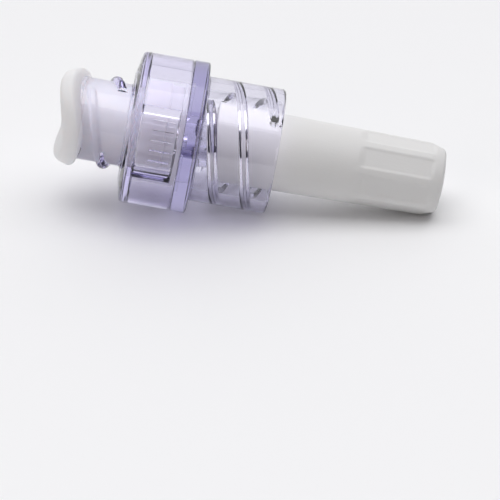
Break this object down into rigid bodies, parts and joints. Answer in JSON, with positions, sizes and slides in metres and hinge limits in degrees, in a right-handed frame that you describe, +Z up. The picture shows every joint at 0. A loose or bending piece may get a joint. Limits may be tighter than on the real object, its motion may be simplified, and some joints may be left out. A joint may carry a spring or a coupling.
{
  "type": "needle free connector",
  "caption": "Swabbable needle-free access connector: silicone saddle-head valve in a clear housing, threaded female luer inlet, male luer lock outlet with a pull-off tip cap.",
  "frame": {"origin": "middle of the bounding box, on the surface that the connector lies on", "axes": "+Z up; the connector's own axis lies in the XZ plane and runs from the silicone head (-X, raised) down to the tip cap (+X); the grip panels face 17.5 degrees up from -Y and 17.5 degrees down from +Y"},
  "size_m": [0.031, 0.012, 0.0127],
  "materials": {
    "clear_housing": "clear, faintly blue, polished",
    "silicone": "milky translucent, satin",
    "cap_white": "matt moulded"
  },
  "bodies": {
    "housing": {"upper_housing": "clear_housing", "base_housing": "clear_housing"},
    "valve": {"valve_plug": "silicone"},
    "cap": {"tip_cap": "cap_white"}
  },
  "joints": [
    {"name": "cap_pull", "type": "slide", "parent": "housing", "child": "cap", "axis": [0.9849, 0, -0.1729], "range_m": [0, 0.01]},
    {"name": "valve_press", "type": "slide", "parent": "housing", "child": "valve", "axis": [0.9849, 0, -0.1729], "range_m": [0, 0.0012], "stiffness_N_per_m": 3000, "deforming": ["valve_plug"]}
  ]
}
